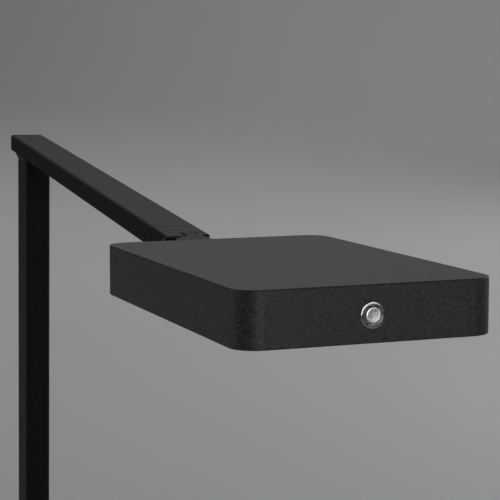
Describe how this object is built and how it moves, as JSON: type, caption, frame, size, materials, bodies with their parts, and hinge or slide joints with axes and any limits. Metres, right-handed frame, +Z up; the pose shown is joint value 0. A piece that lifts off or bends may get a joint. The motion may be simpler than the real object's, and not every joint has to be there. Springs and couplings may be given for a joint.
{
  "type": "piano lamp",
  "caption": "Piano lamp: a flat lamp head on a tilt and swivel knuckle, carried by a swing arm on an upright tube and a heavy foot, with a push switch in the head's front edge.",
  "frame": {"origin": "on the resting plane, under the post's axis", "axes": "+Z up, -Y from the post along the arm towards the lamp head, +X to the right seen from the front"},
  "size_m": [0.19, 0.7493, 0.4191],
  "materials": {
    "base_coat": "satin",
    "post_coat": "satin",
    "arm_coat": "satin",
    "knuckle_coat": "satin",
    "head_coat": "satin",
    "cover_coat": "satin",
    "pad_foam": "matte",
    "gland_rubber": "matte",
    "lead_jacket": "matte",
    "plain_steel": "satin",
    "zinc_steel": "satin",
    "spring_steel": "polished",
    "black_steel": "satin",
    "nylon": "matte",
    "knob_plastic": "matte",
    "opal_plastic": "satin",
    "white_plastic": "matte",
    "bare_aluminium": "satin",
    "white_board": "satin",
    "led_phosphor": "gloss",
    "green_board": "satin",
    "component_black": "matte",
    "chrome_ring": "polished",
    "button_steel": "satin",
    "switch_plastic": "matte",
    "terminal_brass": "satin"
  },
  "bodies": {
    "stand": {"base_plate": "base_coat", "base_pad": "pad_foam", "cord_gland": "gland_rubber", "post_tube": "post_coat", "post_foot_plug": "plain_steel", "post_screws": "zinc_steel", "post_top_plug": "post_coat", "post_top_screws": "black_steel", "supply_lead": "lead_jacket", "swing_washer": "nylon"},
    "arm": {"arm_tube": "arm_coat", "arm_end_cap": "arm_coat", "swing_spindle": "plain_steel", "spindle_spring_washer": "spring_steel", "spindle_nut": "zinc_steel", "arm_clevis": "arm_coat", "clevis_screws": "black_steel", "arm_lead": "lead_jacket", "tilt_pin": "black_steel", "tilt_knob": "knob_plastic", "tilt_washers": "nylon"},
    "knuckle": {"knuckle_link": "knuckle_coat", "swivel_washers": "nylon"},
    "head": {"head_housing": "head_coat", "head_bracket": "knuckle_coat", "swivel_pin": "black_steel", "bracket_screws": "zinc_steel", "bottom_cover": "cover_coat", "cover_screws": "black_steel", "diffuser": "opal_plastic", "light_box": "white_plastic", "led_plate": "bare_aluminium", "plate_screws": "zinc_steel", "led_board": "white_board", "led_chips": "led_phosphor", "dimmer_board": "green_board", "dimmer_parts": "component_black", "dimmer_screws": "zinc_steel", "head_lead": "lead_jacket", "button_bezel": "chrome_ring", "button_nut": "zinc_steel", "switch_body": "switch_plastic", "switch_terminals": "terminal_brass", "button_spring": "spring_steel"},
    "button": {"button_cap": "button_steel"}
  },
  "joints": [
    {"name": "arm_swing", "type": "hinge", "parent": "stand", "child": "arm", "pos_m": [0, 0, 0.387], "axis": [0, 0, 1], "range_deg": [-90, 90]},
    {"name": "head_tilt", "type": "hinge", "parent": "arm", "child": "knuckle", "pos_m": [0, -0.44, 0.39365], "axis": [-1, 0, 0], "range_deg": [-64, 30]},
    {"name": "head_swivel", "type": "hinge", "parent": "knuckle", "child": "head", "pos_m": [0, -0.47791, 0.3963], "axis": [0, 0.0698, 0.9976], "range_deg": [-48.7, 41.3]},
    {"name": "button_press", "type": "slide", "parent": "head", "child": "button", "axis": [-0.0645, 0.9955, -0.0696], "range_m": [0, 0.0012], "stiffness_N_per_m": 800, "springref_m": -0.001, "deforming": ["button_spring"]}
  ]
}
